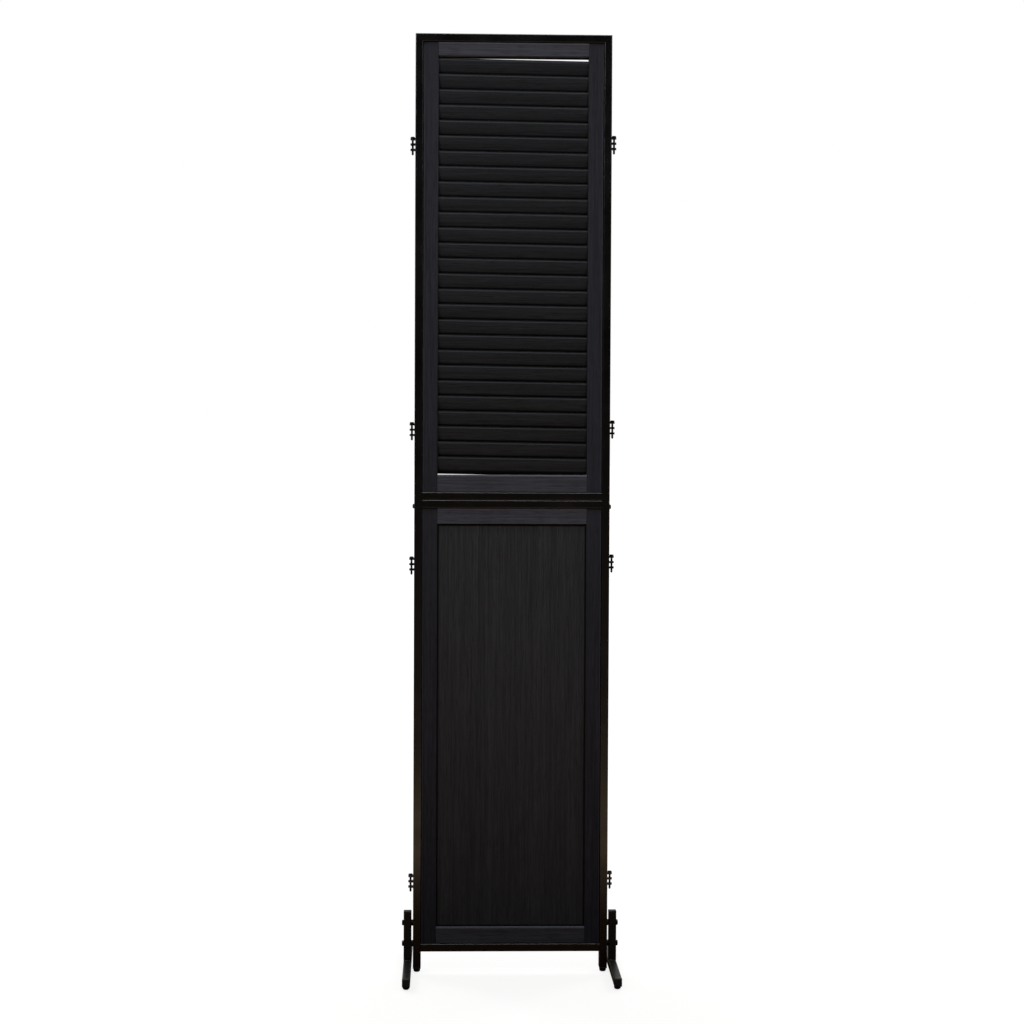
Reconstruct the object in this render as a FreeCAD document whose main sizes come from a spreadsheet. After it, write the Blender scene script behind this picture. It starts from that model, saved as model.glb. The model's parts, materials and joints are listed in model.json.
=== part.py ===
import FreeCAD, Part
import math
import os
import re
from types import SimpleNamespace

import Sketcher
from FreeCAD import Placement, Rotation, Vector

# A free-standing room divider panel. Two stacked frames of steel tube stand on T feet. The upper frame
# holds a louvred shutter whose slats tilt together, the lower one a framed board. Drop pins in ears on
# both sides link the panel to its neighbours. X is to the right, Y to the back and Z up, and the origin
# is on the floor under the middle of the panel. Lengths are in millimetres, angles in degrees.

SIZES = {
    # steel frames
    "frame_width": 375,
    "frame_height": 1800,
    "seam_height": 912,
    "bottom_tube_height": 41,
    "tube_face": 15,
    "tube_depth": 25,
    "tube_wall": 1.2,
    "tube_corner": 1.8,
    # spigots that line up the two frames, and their bolts
    "spigot_length": 60,
    "spigot_wall": 2,
    "spigot_play": 0.2,
    "joining_bolt_drop": 12,
    "joining_bolt_size": 5,
    "joining_bolt_length": 9,
    # feet
    "glide_height": 7.5,
    "glide_width": 13,
    "glide_edge": 2,
    "glide_stem": 6,
    "glide_stem_length": 12,
    "cap_lip": 3,
    "cap_plug": 10,
    "cap_edge": 1,
    "foot_tube": 15,
    "foot_length": 300,
    "foot_post_height": 96,
    "foot_spacer": 3,
    "foot_spacer_width": 12,
    "foot_bolt_low": 55,
    "foot_bolt_high": 95,
    "foot_bolt_size": 6,
    "foot_bolt_grip": 9,
    "bolt_head_height": 3.4,
    "bolt_head_rim": 2.2,
    "glide_inset": 16,
    "bore_play": 0.2,
    # hinge ears and their drop pins
    "ear_thickness": 4,
    "ear_spacing": 10.2,
    "ear_width": 9,
    "hinge_reach": 5,
    "hinge_pin_size": 4,
    "hinge_pin_head": 8,
    "hinge_pin_head_height": 2.5,
    "hinge_pin_tail": 8,
    "hinge_pin_point": 0.8,
    "hinge_stagger": 5,
    "lowest_hinge_rise": 137,
    "hinge_under_seam": 121,
    "hinge_over_seam": 137,
    "highest_hinge_drop": 207,
    # wooden shutter and framed board
    "wood_thickness": 16,
    "wood_play": 0.15,
    "wood_edge": 1,
    "stile_width": 29,
    "louvre_top_rail": 27,
    "louvre_bottom_rail": 34,
    "sill_lip": 7,
    "sill_rebate": 8.5,
    "tenon_thickness": 6,
    "tenon_length": 14,
    "tenon_shoulder": 8,
    "tenon_play": 0.2,
    "panel_top_rail": 31,
    "panel_bottom_rail": 32,
    "board_thickness": 5,
    "board_play": 0.2,
    "groove_depth": 8,
    # screws through the uprights into the stiles
    "screw_size": 4,
    "screw_head": 7.5,
    "screw_head_height": 2.5,
    "screw_length": 18,
    "screw_access": 9,
    # slats
    "slat_width": 35,
    "slat_thickness": 5.5,
    "slat_edge": 1.6,
    "slat_tilt": 15,
    "slat_fall": 3.8,
    "slat_end_gap": 0.35,
    "slat_pin": 5,
    "slat_pin_reach": 9,
    "slat_bore_depth": 10,
    "first_slat_drop": 22.2,
    "last_slat_rise": 16.2,
    # tilt rod, its wire eyes and the slats' staples
    "staple_wire": 1.2,
    "staple_width": 7,
    "staple_reach": 4.2,
    "eye_room": 1.3,
    "rod_width": 8,
    "rod_thickness": 8,
    "rod_gap": 0.6,
    "rod_overhang": 14,
}
SLAT_COUNT = 27
SCREW_PLACE_SHARES = (0.27, 0.86)
EARS_PER_HINGE = 3
SIDES = {"left": -1, "right": 1}
OCTAGON_SIDES = 8

doc = FreeCAD.newDocument("room_divider")
sheet = doc.addObject("Spreadsheet::Sheet", "Sizes")
for row, (name, number) in enumerate(SIZES.items(), start=1):
    sheet.set(f"A{row}", name)
    sheet.set(f"B{row}", str(number))
    sheet.setAlias(f"B{row}", name)
doc.recompute()
size = SimpleNamespace(**{name: float(sheet.get(name)) for name in SIZES})
subparts = []

# Formulas in the sheet's words that several pieces share.
INNER_WIDTH = "(frame_width - 2 * tube_face)"
WOOD_WIDTH = f"({INNER_WIDTH} - 2 * wood_play)"
OPENING_WIDTH = f"({WOOD_WIDTH} - 2 * stile_width)"
LEG_END = "(glide_height + cap_lip)"
LOUVRE_HEIGHT = "(frame_height - seam_height - 2 * tube_face - wood_play)"
LOUVRE_OPENING = f"({LOUVRE_HEIGHT} - louvre_top_rail - louvre_bottom_rail)"
SLAT_RUN = f"({LOUVRE_OPENING} - first_slat_drop - last_slat_rise)"
PANEL_HEIGHT = "(seam_height - bottom_tube_height - 2 * tube_face - wood_play)"
BOLT_HEAD_RADIUS_SHARE = 0.9

# The same places as plain numbers, for placements.
inner_width = size.frame_width - 2 * size.tube_face
wood_width = inner_width - 2 * size.wood_play
opening_width = wood_width - 2 * size.stile_width
upright_x = (size.frame_width - size.tube_face) / 2
stile_x = (wood_width - size.stile_width) / 2
leg_end = size.glide_height + size.cap_lip
louvre_base = size.seam_height + size.tube_face
louvre_top = size.frame_height - size.tube_face - size.wood_play
sill = louvre_base + size.louvre_bottom_rail
last_slat = sill + size.last_slat_rise
first_slat = louvre_top - size.louvre_top_rail - size.first_slat_drop
slat_pitch = (first_slat - last_slat) / (SLAT_COUNT - 1)
slat_skew = math.degrees(math.atan2(size.slat_fall, opening_width))
panel_base = size.bottom_tube_height + size.tube_face
panel_height = size.seam_height - size.tube_face - size.wood_play - panel_base
bar_base = size.glide_height
post_base = bar_base + size.foot_tube
post_x = size.frame_width / 2 + size.foot_spacer + size.foot_tube / 2
hinge_x = size.frame_width / 2 + size.hinge_reach
staple_radius = size.slat_width / 2 + size.staple_reach


def bind(thing, what, formula):
    """Ties a property to the sheet. Words in the formula are names in the sheet."""
    thing.setExpression(what, re.sub(r"[a-z][a-z_]*\b(?!\()", r"Sizes.\g<0>", formula))


def at(x, y, z, rotation=Rotation()):
    return Placement(Vector(x, y, z), rotation)


def turned(x, y, z, degrees):
    """A rotation about the axis (x, y, z)."""
    return Rotation(Vector(x, y, z), degrees)


def origin(body, role):
    return next(feature for feature in body.Origin.OriginFeatures if feature.Role == role)


def new_body(label):
    body = doc.addObject("PartDesign::Body", label)
    body.Label = label
    return body


def new_sketch(body, role, offset="0"):
    """A sketch on one of the body's own planes, moved along the plane's normal by a formula."""
    sketch = body.newObject("Sketcher::SketchObject", f"{body.Label}_sketch")
    sketch.AttachmentSupport = [(origin(body, role), "")]
    sketch.MapMode = "FlatFace"
    bind(sketch, "AttachmentOffset.Base.z", offset)
    return sketch


def hold(sketch, geometry, point, x, y=None):
    """Holds a point of the sketch at one or two distances from its origin."""
    drawn = sketch.getPoint(geometry, point)
    distances = [("DistanceX", x, drawn.x), ("DistanceY", y, drawn.y)]
    for kind, formula, start in distances if y else distances[:1]:
        index = sketch.addConstraint(Sketcher.Constraint(kind, -1, 1, geometry, point, start))
        sketch.renameConstraint(index, f"{kind}_{index}")
        bind(sketch, f"Constraints.{kind}_{index}", formula)


def outline(sketch, *corners):
    """A closed outline of straight sides through corners given as pairs of formulas."""
    count = len(corners)
    first = sketch.GeometryCount
    turns = [2 * math.pi * corner / count for corner in range(count)]
    ring = [Vector(math.cos(turn), math.sin(turn), 0) for turn in turns]
    for corner in range(count):
        side = Part.LineSegment(ring[corner], ring[(corner + 1) % count])
        sketch.addGeometry(side, False)
    for corner in range(count):
        following = first + (corner + 1) % count
        sketch.addConstraint(Sketcher.Constraint("Coincident", first + corner, 2, following, 1))
    for corner, (x, y) in enumerate(corners):
        hold(sketch, first + corner, 1, x, y)


def rectangle(sketch, left, right, low, high):
    outline(sketch, (left, low), (right, low), (right, high), (left, high))


def middle_rectangle(sketch, wide, tall):
    rectangle(sketch, f"-({wide}) / 2", f"({wide}) / 2", f"-({tall}) / 2", f"({tall}) / 2")


def circle(sketch, x, y, diameter):
    ring = sketch.addGeometry(Part.Circle(Vector(0, 0, 0), Vector(0, 0, 1), 1), False)
    hold(sketch, ring, 3, x, y)
    index = sketch.addConstraint(Sketcher.Constraint("Diameter", ring, 1.0))
    sketch.renameConstraint(index, f"Diameter_{index}")
    bind(sketch, f"Constraints.Diameter_{index}", diameter)


def octagon(sketch, x, y, diameter, inscribed=False):
    """An eight-sided outline round a diameter, for small bores, or within it, for pins."""
    step = math.pi / OCTAGON_SIDES
    share = 0.5 if inscribed else 0.5 / math.cos(step)
    corners = []
    for side in range(OCTAGON_SIDES):
        turn = (2 * side + 1) * step
        across_share, up_share = share * math.cos(turn), share * math.sin(turn)
        corners.append(
            (f"{x} + {across_share:.6f} * ({diameter})", f"{y} + {up_share:.6f} * ({diameter})")
        )
    outline(sketch, *corners)


def pad(body, sketch, length, side="One side"):
    feature = body.newObject("PartDesign::Pad", f"{body.Label}_pad")
    feature.Profile = sketch
    feature.SideType = side
    bind(feature, "Length", length)
    doc.recompute()
    return feature


def pocket(body, sketch, length=None, side="One side", reverse=False):
    """Cuts to a depth, or right through where no depth is given, and makes sure that it did cut."""
    before = body.Shape.Volume
    feature = body.newObject("PartDesign::Pocket", f"{body.Label}_pocket")
    feature.Profile = sketch
    feature.SideType = side
    feature.Reversed = reverse
    feature.Type = "Length" if length else "ThroughAll"
    if length:
        bind(feature, "Length", length)
    doc.recompute()
    if body.Shape.Volume >= before:
        raise RuntimeError(f"a pocket of {body.Label} cuts nothing")
    return feature


def revolve(body, *corners):
    """Turns an outline of radius and height pairs about the body's Z axis."""
    sketch = new_sketch(body, "XZ_Plane")
    outline(sketch, *corners)
    feature = body.newObject("PartDesign::Revolution", f"{body.Label}_turning")
    feature.Profile = sketch
    feature.ReferenceAxis = (sketch, ["V_Axis"])
    doc.recompute()
    return feature


def repeat_up(body, feature, length):
    """Repeats a feature once for each slat, upwards over a length."""
    pattern = body.newObject("PartDesign::LinearPattern", f"{body.Label}_row")
    pattern.Originals = [feature]
    pattern.Direction = (origin(body, "Z_Axis"), [""])
    bind(pattern, "Length", length)
    pattern.Occurrences = SLAT_COUNT
    body.Tip = pattern
    doc.recompute()


def dress_edges(body, feature, kind, what, amount, wanted):
    """Fillets or chamfers those edges of a feature that the test picks."""
    edges = enumerate(feature.Shape.Edges, start=1)
    names = [f"Edge{number}" for number, edge in edges if wanted(edge)]
    dressing = body.newObject(f"PartDesign::{kind}", f"{body.Label}_edges")
    dressing.Base = (feature, names)
    bind(dressing, what, amount)
    doc.recompute()


def round_edges(body, feature, radius, wanted):
    dress_edges(body, feature, "Fillet", "Radius", radius, wanted)


def chamfer_edges(body, feature, amount, wanted):
    dress_edges(body, feature, "Chamfer", "Size", amount, wanted)


def runs_along(axis):
    """A test for straight edges that lie along an axis."""
    def test(edge):
        straight = isinstance(edge.Curve, Part.Line)
        return straight and abs(edge.Curve.Direction.dot(axis)) > math.cos(math.radians(1))
    return test


ALONG_X = runs_along(Vector(1, 0, 0))
ALONG_Z = runs_along(Vector(0, 0, 1))


def place(body, placement):
    """Puts a finished body where it belongs in the panel and lists it as a sub-part."""
    body.Placement = placement
    subparts.append(body)


def group(label, *members):
    """Gathers copies of finished bodies, given as body and placement pairs, in one sub-part."""
    copies = []
    for body, placement in members:
        copy = doc.addObject("App::Link", f"{label}_copy")
        copy.LinkedObject = body
        copy.Placement = placement
        copies.append(copy)
    compound = doc.addObject("Part::Compound", label)
    compound.Label = label
    compound.Links = copies
    subparts.append(compound)


def tube(label, wide, deep, length):
    """A hollow tube with rounded corners that stands on the XY plane."""
    body = new_body(label)
    outside = new_sketch(body, "XY_Plane")
    middle_rectangle(outside, wide, deep)
    bar = pad(body, outside, length)
    round_edges(body, bar, "tube_corner", ALONG_Z)
    inside = new_sketch(body, "XY_Plane")
    middle_rectangle(inside, f"{wide} - 2 * tube_wall", f"{deep} - 2 * tube_wall")
    pocket(body, inside, side="Symmetric")
    return body


def frame_tube(label, length):
    return tube(label, "tube_face", "tube_depth", length)


def bore_across(body, height, diameter, inner_side=False):
    """A bore along X from the tube's middle through one wall: the outer one, at -X, or the inner one."""
    ring = new_sketch(body, "YZ_Plane")
    octagon(ring, "0", height, diameter)
    pocket(body, ring, reverse=inner_side)


def screw_bores(body, low, height):
    """Access bores in the outer wall and screw bores in the inner one, for each shutter screw."""
    for share in SCREW_PLACE_SHARES:
        place_up = f"{low} + {share} * {height}"
        bore_across(body, place_up, "screw_access")
        bore_across(body, place_up, "screw_size + 2 * bore_play", inner_side=True)


def upper_upright(side):
    """Open below for the spigot, mitred above. Modelled as the left one."""
    height = "(frame_height - seam_height)"
    body = frame_tube(f"upper_{side}_upright", height)
    mitre = new_sketch(body, "XZ_Plane")
    inner, outer = "tube_face / 2", "-tube_face / 2"
    outline(mitre, (inner, f"{height} - tube_face"), (inner, height), (outer, height))
    pocket(body, mitre, side="Symmetric")
    screw_bores(body, "tube_face", LOUVRE_HEIGHT)
    return body


def lower_upright(side):
    """Runs on below the bottom tube as a leg. Modelled as the left one."""
    body = frame_tube(f"lower_{side}_upright", f"seam_height - {LEG_END}")
    bolt = f"seam_height - {LEG_END} - joining_bolt_drop"
    bore_across(body, bolt, "joining_bolt_size + 2 * bore_play")
    for height in ("foot_bolt_low", "foot_bolt_high"):
        bore_across(body, f"{height} - {LEG_END}", "foot_bolt_size + 2 * bore_play")
    screw_bores(body, f"bottom_tube_height + tube_face - {LEG_END}", PANEL_HEIGHT)
    return body


def frame_tubes():
    for side, sign in SIDES.items():
        facing = turned(0, 0, 1, 0 if sign < 0 else 180)
        place(upper_upright(side), at(sign * upright_x, 0, size.seam_height, facing))
        place(lower_upright(side), at(sign * upright_x, 0, leg_end, facing))
    # Cross tubes are modelled upright and laid along X.
    lying = turned(0, 1, 0, 90)
    top = frame_tube("top_tube", "frame_width")
    mitres = new_sketch(top, "XZ_Plane")
    inner, outer = "tube_face / 2", "-tube_face / 2"
    outline(mitres, (inner, "0"), (inner, "tube_face"), (outer, "0"))
    far = "frame_width"
    outline(mitres, (inner, far), (inner, f"{far} - tube_face"), (outer, far))
    pocket(top, mitres, side="Symmetric")
    short = frame_tube("short_tube", INNER_WIDTH)
    half = size.tube_face / 2
    group(
        "upper_cross_tubes",
        (top, at(-size.frame_width / 2, 0, size.frame_height - half, lying)),
        (short, at(-inner_width / 2, 0, size.seam_height + half, lying)),
    )
    group(
        "lower_cross_tubes",
        (short, at(-inner_width / 2, 0, size.seam_height - half, lying)),
        (short, at(-inner_width / 2, 0, size.bottom_tube_height + half, lying)),
    )


def headed_bolt(label, diameter, length, head_radius):
    """A bolt with a domed head, head upwards, its seat at the origin."""
    body = new_body(label)
    radius = f"{diameter} / 2"
    revolve(
        body,
        ("0", "bolt_head_height"),
        (f"{head_radius} - bolt_head_rim", "bolt_head_height"),
        (head_radius, "bolt_head_height - bolt_head_rim"),
        (head_radius, "0"),
        (radius, "0"),
        (radius, f"-({length})"),
        ("0", f"-({length})"),
    )
    return body


def outwards(sign):
    """Turns a piece's Z axis to the outer side of the panel."""
    return turned(0, 1, 0, 90 * sign)


def joining_pieces():
    """Spigots in the open tube ends at the seam, each held by a bolt from the outer side."""
    spigot = new_body("spigot")
    outside = new_sketch(spigot, "XY_Plane")
    play = "2 * tube_wall - 2 * spigot_play"
    wide, deep = f"tube_face - {play}", f"tube_depth - {play}"
    middle_rectangle(outside, wide, deep)
    pad(spigot, outside, "spigot_length", "Symmetric")
    inside = new_sketch(spigot, "XY_Plane")
    middle_rectangle(inside, f"{wide} - 2 * spigot_wall", f"{deep} - 2 * spigot_wall")
    pocket(spigot, inside, side="Symmetric")
    bore_across(spigot, "-joining_bolt_drop", "joining_bolt_size + 2 * bore_play")
    bolt = headed_bolt(
        "joining_bolt", "joining_bolt_size", "joining_bolt_length",
        f"{BOLT_HEAD_RADIUS_SHARE} * joining_bolt_size",
    )
    bolt_height = size.seam_height - size.joining_bolt_drop
    spigots, bolts = [], []
    for sign in SIDES.values():
        facing = turned(0, 0, 1, 0 if sign < 0 else 180)
        spigots.append((spigot, at(sign * upright_x, 0, size.seam_height, facing)))
        bolts.append((bolt, at(sign * size.frame_width / 2, 0, bolt_height, outwards(sign))))
    group("joining_spigots", *spigots)
    group("joining_bolts", *bolts)


def end_cap(label, wide, deep, stem_bore=False):
    """A cap whose plug points up into a tube end, with its lip below."""
    body = new_body(label)
    lip = new_sketch(body, "XY_Plane")
    middle_rectangle(lip, wide, deep)
    plate = pad(body, lip, "cap_lip")
    chamfer_edges(body, plate, "cap_edge", lambda edge: edge.BoundBox.ZMax < size.cap_lip / 2)
    plug = new_sketch(body, "XY_Plane")
    play = "2 * tube_wall - 2 * bore_play"
    middle_rectangle(plug, f"{wide} - {play}", f"{deep} - {play}")
    pad(body, plug, "cap_lip + cap_plug")
    if stem_bore:
        ring = new_sketch(body, "XY_Plane")
        octagon(ring, "0", "0", "glide_stem + 2 * bore_play")
        pocket(body, ring, side="Symmetric")
    return body


def feet():
    """T feet: a floor bar along Y, a post on it, and spacer bosses between post and upright."""
    post = tube("foot_post", "foot_tube", "foot_tube", "foot_post_height - cap_lip")
    for height in ("foot_bolt_low", "foot_bolt_high"):
        ring = new_sketch(post, "YZ_Plane")
        octagon(ring, "0", f"{height} - glide_height - foot_tube", "foot_bolt_size + 2 * bore_play")
        pocket(post, ring, side="Symmetric")
    bar = tube("foot_bar", "foot_tube", "foot_tube", "foot_length - 2 * cap_lip")
    bar_length = size.foot_length - 2 * size.cap_lip
    for inset in ("glide_inset - cap_lip", "foot_length - cap_lip - glide_inset"):
        ring = new_sketch(bar, "XZ_Plane")
        octagon(ring, "0", inset, "glide_stem + 2 * bore_play")
        pocket(bar, ring, reverse=True)
    boss = new_body("foot_boss")
    ring = new_sketch(boss, "XY_Plane")
    circle(ring, "0", "0", "foot_spacer_width")
    octagon(ring, "0", "0", "foot_bolt_size + 2 * bore_play")
    pad(boss, ring, "foot_spacer", "Symmetric")

    bolt = headed_bolt(
        "foot_bolt", "foot_bolt_size", "foot_tube + foot_spacer + foot_bolt_grip",
        f"{BOLT_HEAD_RADIUS_SHARE} * foot_bolt_size",
    )
    square_cap = end_cap("square_cap", "foot_tube", "foot_tube")
    leg_cap = end_cap("leg_cap", "tube_face", "tube_depth", stem_bore=True)
    glide = new_body("glide")
    half_stem, half_glide = "glide_stem / 2", "glide_width / 2"
    revolve(
        glide,
        ("0", "0"),
        (f"{half_glide} - glide_edge", "0"),
        (half_glide, "glide_edge"),
        (half_glide, "glide_height"),
        (half_stem, "glide_height"),
        (half_stem, "glide_height + glide_stem_length"),
        ("0", "glide_height + glide_stem_length"),
    )

    bar_middle = bar_base + size.foot_tube / 2
    boss_x = size.frame_width / 2 + size.foot_spacer / 2
    bolt_x = size.frame_width / 2 + size.foot_spacer + size.foot_tube
    glide_y = size.foot_length / 2 - size.glide_inset
    forwards, backwards = turned(1, 0, 0, 90), turned(1, 0, 0, -90)
    bolts, caps, glides = [], [], []
    for side, sign in SIDES.items():
        x = sign * post_x
        members = [
            (post, at(x, 0, post_base)),
            (bar, at(x, bar_length / 2, bar_middle, forwards)),
        ]
        for height in (size.foot_bolt_low, size.foot_bolt_high):
            members.append((boss, at(sign * boss_x, 0, height, outwards(sign))))
            bolts.append((bolt, at(sign * bolt_x, 0, height, outwards(sign))))
        group(f"{side}_foot", *members)
        caps.append((square_cap, at(x, 0, post_base + size.foot_post_height, turned(1, 0, 0, 180))))
        caps.append((square_cap, at(x, -size.foot_length / 2, bar_middle, backwards)))
        caps.append((square_cap, at(x, size.foot_length / 2, bar_middle, forwards)))
        caps.append((leg_cap, at(sign * upright_x, 0, size.glide_height)))
        glides.append((glide, at(sign * upright_x, 0, 0)))
        glides.append((glide, at(x, -glide_y, 0)))
        glides.append((glide, at(x, glide_y, 0)))
    group("foot_bolts", *bolts)
    group("end_caps", *caps)
    group("glides", *glides)


def hinges():
    """Three ears a hinge, welded to the uprights, with a headed pin dropped through them."""
    ear = new_body("ear")
    plate = new_sketch(ear, "XY_Plane")
    rectangle(plate, "0", "hinge_reach", "-ear_width / 2", "ear_width / 2")
    pad(ear, plate, "ear_thickness", "Symmetric")
    nose = new_sketch(ear, "XY_Plane")
    circle(nose, "hinge_reach", "0", "ear_width")
    pad(ear, nose, "ear_thickness", "Symmetric")
    eye = new_sketch(ear, "XY_Plane")
    octagon(eye, "hinge_reach", "0", "hinge_pin_size + 2 * bore_play")
    pocket(ear, eye, side="Symmetric")

    ears = []
    heights = (
        size.bottom_tube_height + size.lowest_hinge_rise,
        size.seam_height - size.hinge_under_seam,
        size.seam_height + size.hinge_over_seam,
        size.frame_height - size.highest_hinge_drop,
    )
    for side, sign in SIDES.items():
        facing = turned(0, 0, 1, 0 if sign > 0 else 180)
        stagger = sign * size.hinge_stagger / 2
        for number, height in enumerate(heights, start=1):
            middle = height + stagger
            for step in range(EARS_PER_HINGE):
                z = middle + (step - 1) * size.ear_spacing
                ears.append((ear, at(sign * size.frame_width / 2, 0, z, facing)))
            seat = middle + size.ear_spacing + size.ear_thickness / 2
            place(hinge_pin(f"hinge_pin_{side}_{number}"), at(sign * hinge_x, 0, seat))
    group("hinge_ears", *ears)


def hinge_pin(label):
    """A pin with its head's seat at the origin and its pointed tail hanging below the lowest ear."""
    body = new_body(label)
    shank, head = "hinge_pin_size / 2", "hinge_pin_head / 2"
    tip = "(2 * ear_spacing + ear_thickness + hinge_pin_tail)"
    revolve(
        body,
        ("0", "hinge_pin_head_height"),
        (head, "hinge_pin_head_height"),
        (head, "0"),
        (shank, "0"),
        (shank, f"hinge_pin_point - {tip}"),
        (f"{shank} - hinge_pin_point", f"-{tip}"),
        ("0", f"-{tip}"),
    )
    return body


def stile(label, height):
    """A stile with eased long edges. Modelled as the left one, with its inner face at +X."""
    body = new_body(label)
    section = new_sketch(body, "XY_Plane")
    middle_rectangle(section, "stile_width", "wood_thickness")
    post = pad(body, section, height)
    round_edges(body, post, "wood_edge", ALONG_Z)
    for share in SCREW_PLACE_SHARES:
        pilot = new_sketch(body, "YZ_Plane", "-stile_width / 2")
        octagon(pilot, "0", f"{share} * {height}", "screw_size + 2 * bore_play")
        pocket(body, pilot, "screw_length", reverse=True)
    return body


def louvre_stile(side, sign):
    """Mortised for both rails and bored for the slats' pins. The right-hand bores sit lower."""
    body = stile(f"louvre_{side}_stile", LOUVRE_HEIGHT)
    trimmed = "2 * (tenon_shoulder - tenon_play)"
    sill_floor = "(louvre_bottom_rail - sill_rebate)"
    for rail, middle in (
        ("louvre_top_rail", f"{LOUVRE_HEIGHT} - louvre_top_rail / 2"),
        (sill_floor, f"{sill_floor} / 2"),
    ):
        tall = f"({rail} - {trimmed})"
        wide = "(tenon_thickness + 2 * tenon_play)"
        mortise = new_sketch(body, "YZ_Plane", "stile_width / 2")
        rectangle(
            mortise, f"-{wide} / 2", f"{wide} / 2", f"{middle} - {tall} / 2", f"{middle} + {tall} / 2"
        )
        pocket(body, mortise, "tenon_length + tenon_play")
    fall = f"slat_fall * ({OPENING_WIDTH} + slat_pin_reach) / (2 * {OPENING_WIDTH})"
    bore = new_sketch(body, "YZ_Plane", "stile_width / 2")
    lift = "-" if sign > 0 else "+"
    octagon(bore, "0", f"louvre_bottom_rail + last_slat_rise {lift} {fall}", "slat_pin + 2 * bore_play")
    repeat_up(body, pocket(body, bore, "slat_bore_depth"), SLAT_RUN)
    return body


def panel_stile(side):
    """Grooved along its inner face for the board and the rails' tenons."""
    body = stile(f"panel_{side}_stile", PANEL_HEIGHT)
    groove = new_sketch(body, "XY_Plane")
    wide = "(board_thickness + 2 * board_play)"
    rectangle(groove, "stile_width / 2 - groove_depth", "stile_width / 2", f"-{wide} / 2", f"{wide} / 2")
    pocket(body, groove, side="Symmetric")
    return body


def rail(label, tenon_thickness, tenon_low, tenon_high, tenon_length, *corners):
    """A rail along X between the stiles, its section given by corners in Y and Z, with a tenon each end."""
    body = new_body(label)
    section = new_sketch(body, "YZ_Plane")
    outline(section, *corners)
    bar = pad(body, section, OPENING_WIDTH, "Symmetric")
    round_edges(body, bar, "wood_edge", ALONG_X)
    tenon = new_sketch(body, "YZ_Plane")
    rectangle(tenon, f"-{tenon_thickness} / 2", f"{tenon_thickness} / 2", tenon_low, tenon_high)
    pad(body, tenon, f"{OPENING_WIDTH} + 2 * {tenon_length}", "Symmetric")
    return body


FRONT, BACK = "-wood_thickness / 2", "wood_thickness / 2"


def plain_section(height):
    return (FRONT, "0"), (BACK, "0"), (BACK, height), (FRONT, height)


def louvred_shutter():
    for side, sign in SIDES.items():
        facing = turned(0, 0, 1, 0 if sign < 0 else 180)
        place(louvre_stile(side, sign), at(sign * stile_x, 0, louvre_base, facing))
    top = rail(
        "louvre_top_rail", "tenon_thickness", "tenon_shoulder", "louvre_top_rail - tenon_shoulder",
        "tenon_length", *plain_section("louvre_top_rail"),
    )
    place(top, at(0, 0, louvre_top - size.louvre_top_rail))
    # The sill has a lip in front that covers the lowest slat's edge, and a rebate behind it.
    step, floor = "sill_lip - wood_thickness / 2", "louvre_bottom_rail - sill_rebate"
    bottom = rail(
        "louvre_bottom_rail", "tenon_thickness", "tenon_shoulder", f"{floor} - tenon_shoulder",
        "tenon_length", (FRONT, "0"), (BACK, "0"), (BACK, floor), (step, floor),
        (step, "louvre_bottom_rail"), (FRONT, "louvre_bottom_rail"),
    )
    place(bottom, at(0, 0, louvre_base))


def framed_board():
    """Rails with stub tenons in the stiles' grooves, and a board held all round in grooves."""
    for side, sign in SIDES.items():
        facing = turned(0, 0, 1, 0 if sign < 0 else 180)
        place(panel_stile(side), at(sign * stile_x, 0, panel_base, facing))
    wide = "(board_thickness + 2 * board_play)"
    for name, low, high, z in (
        ("panel_top_rail", "0", "groove_depth", panel_base + panel_height - size.panel_top_rail),
        ("panel_bottom_rail", "panel_bottom_rail - groove_depth", "panel_bottom_rail", panel_base),
    ):
        body = rail(
            name, "board_thickness", "0", name, "(groove_depth - board_play)", *plain_section(name)
        )
        groove = new_sketch(body, "YZ_Plane")
        rectangle(groove, f"-{wide} / 2", f"{wide} / 2", low, high)
        pocket(body, groove, side="Symmetric")
        place(body, at(0, 0, z))
    board = new_body("panel_board")
    face = new_sketch(board, "XZ_Plane")
    across = f"({OPENING_WIDTH} + 2 * groove_depth - 2 * board_play)"
    tall = f"{PANEL_HEIGHT} - panel_top_rail - panel_bottom_rail + 2 * groove_depth - board_play"
    rectangle(face, f"-{across} / 2", f"{across} / 2", "0", tall)
    pad(board, face, "board_thickness", "Symmetric")
    place(board, at(0, 0, panel_base + size.panel_bottom_rail - size.groove_depth))


def shutter_screws():
    """Screws whose heads seat inside the uprights, driven through their inner walls into the stiles."""
    screw = new_body("screw")
    length = "(tube_wall + wood_play + screw_length - bore_play)"
    head = new_sketch(screw, "XY_Plane")
    octagon(head, "0", "0", "screw_head", inscribed=True)
    pad(screw, head, "screw_head_height")
    shank = new_sketch(screw, "XY_Plane", f"-{length}")
    octagon(shank, "0", "0", "screw_size", inscribed=True)
    pad(screw, shank, length)
    seat_x = inner_width / 2 + size.tube_wall
    louvre_height = louvre_top - louvre_base
    members = []
    for sign in SIDES.values():
        for low, height in ((louvre_base, louvre_height), (panel_base, panel_height)):
            for share in SCREW_PLACE_SHARES:
                members.append((screw, at(sign * seat_x, 0, low + share * height, outwards(sign))))
    group("shutter_screws", *members)


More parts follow.
